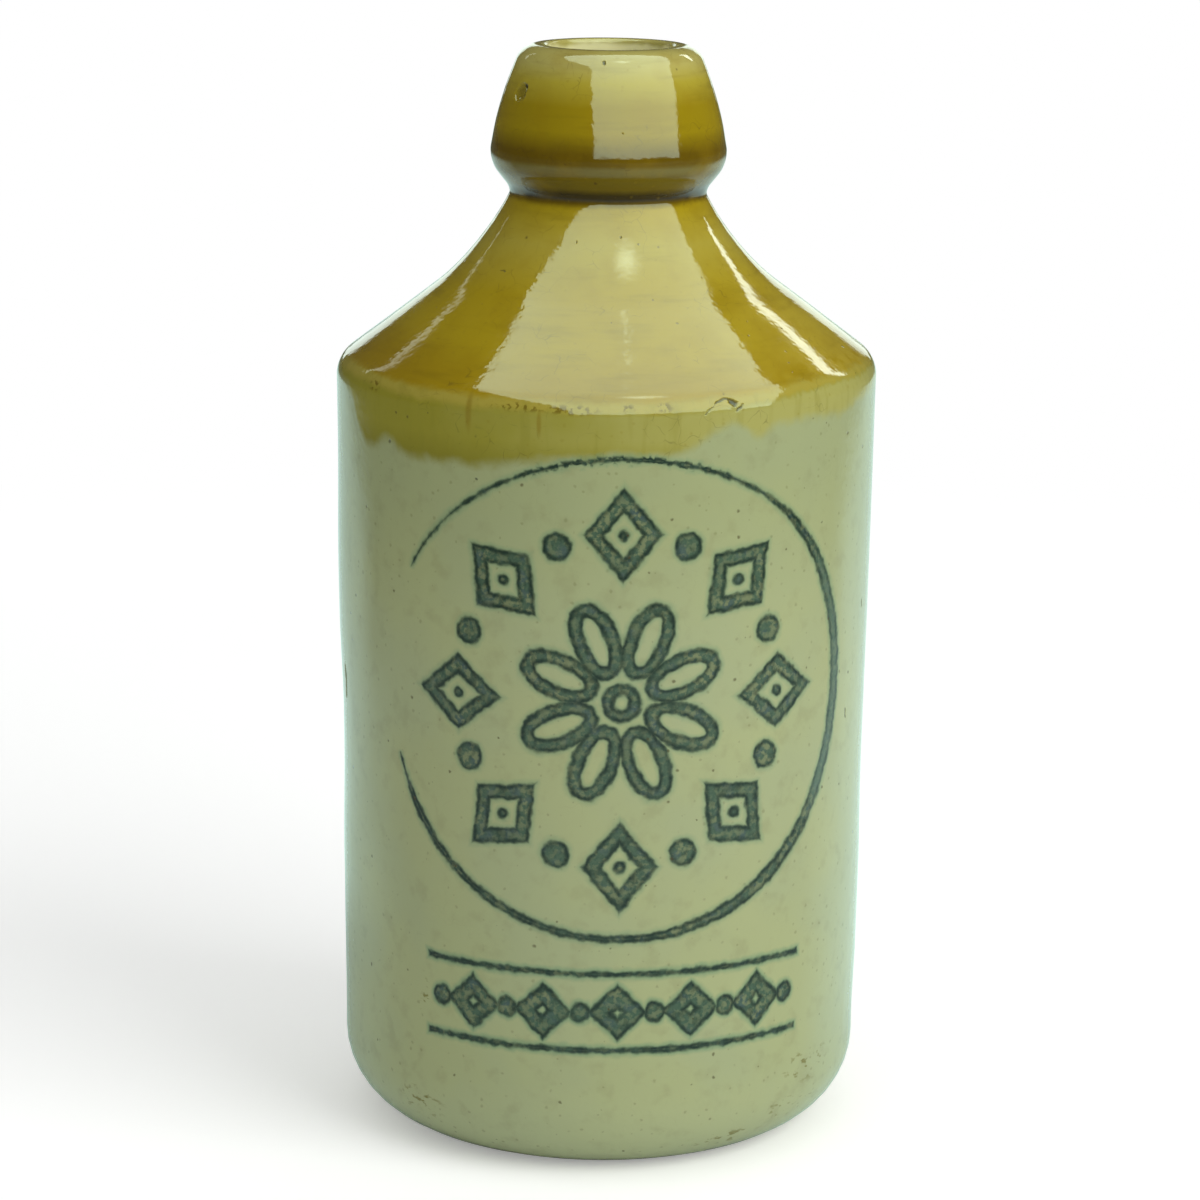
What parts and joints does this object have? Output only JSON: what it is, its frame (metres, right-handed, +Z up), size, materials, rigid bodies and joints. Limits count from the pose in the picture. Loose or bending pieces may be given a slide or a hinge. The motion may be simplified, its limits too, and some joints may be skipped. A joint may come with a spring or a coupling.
{
  "type": "stoneware ginger beer bottle",
  "caption": "Squat hollow stoneware bottle with straight sides, a sloping shoulder, a flared lip and a narrow mouth for a cork.",
  "frame": {"origin": "centre of the foot, on the surface that the bottle stands on", "axes": "+Z up along the axis of turning, out of the mouth; -Y towards the side that carries the printed ornament"},
  "size_m": [0.0817, 0.0818, 0.165],
  "materials": {
    "glazed_stoneware": "gloss glaze"
  },
  "bodies": {
    "root": {"bottle": "glazed_stoneware"}
  },
  "joints": []
}
